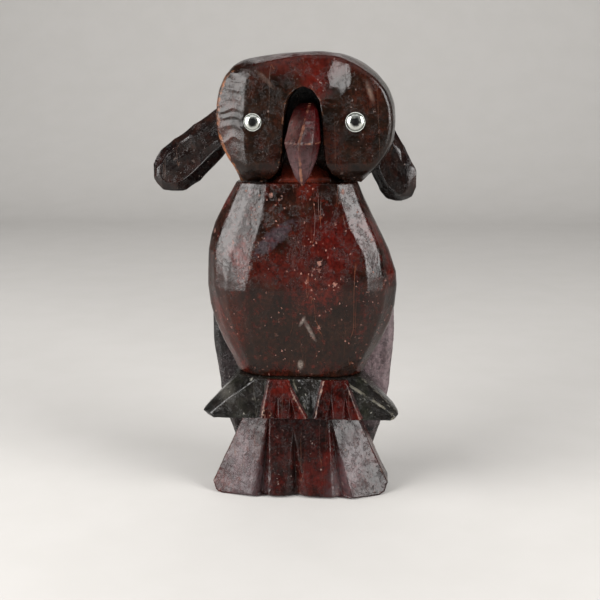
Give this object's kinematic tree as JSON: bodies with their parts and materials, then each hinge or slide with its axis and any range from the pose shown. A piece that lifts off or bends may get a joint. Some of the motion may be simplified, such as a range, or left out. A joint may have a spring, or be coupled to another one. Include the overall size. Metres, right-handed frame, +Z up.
{
  "type": "carved wooden owl figurine",
  "caption": "Carved wooden owl figurine on a perch, with a fan tail, bevelled body, glass eyes, separate beak and paddle ears that turn on pegs behind the head.",
  "frame": {"origin": "middle of the flat lower edge of the tail, on which the owl stands", "axes": "+Z up, the owl looks along -Y, its own left is +X"},
  "size_m": [0.1137, 0.052, 0.1893],
  "materials": {
    "body_lacquer": "old red-brown lacquer, glossy",
    "head_lacquer": "old dark brown lacquer, glossy",
    "beak_lacquer": "old red lacquer, glossy",
    "eye_glass": "clear, domed",
    "pupil_black": "black",
    "ear_lacquer": "old dark brown lacquer, glossy",
    "peg_wood": "dark stained",
    "perch_paint": "grey-green paint, worn",
    "foot_paint": "red paint, worn",
    "tail_lacquer": "old red-brown lacquer, glossy",
    "wing_paint": "dark grey-green paint over rough carving"
  },
  "bodies": {
    "owl": {"torso": "body_lacquer", "head": "head_lacquer", "beak": "beak_lacquer", "right_eye_glass": "eye_glass", "left_eye_glass": "eye_glass", "right_eye_pupil": "pupil_black", "left_eye_pupil": "pupil_black", "right_ear_peg": "peg_wood", "left_ear_peg": "peg_wood", "perch": "perch_paint", "right_foot": "foot_paint", "left_foot": "foot_paint", "tail": "tail_lacquer", "right_wing": "wing_paint", "left_wing": "wing_paint"},
    "right_ear_body": {"right_ear": "ear_lacquer"},
    "left_ear_body": {"left_ear": "ear_lacquer"}
  },
  "joints": [
    {"name": "right_ear_pivot", "type": "hinge", "parent": "owl", "child": "right_ear_body", "pos_m": [-0.0282, 0.0163, 0.1617], "axis": [0, 1, 0], "range_deg": [-50, 110]},
    {"name": "left_ear_pivot", "type": "hinge", "parent": "owl", "child": "left_ear_body", "pos_m": [0.0276, 0.0163, 0.1651], "axis": [0, -1, 0], "range_deg": [-24, 138]}
  ]
}
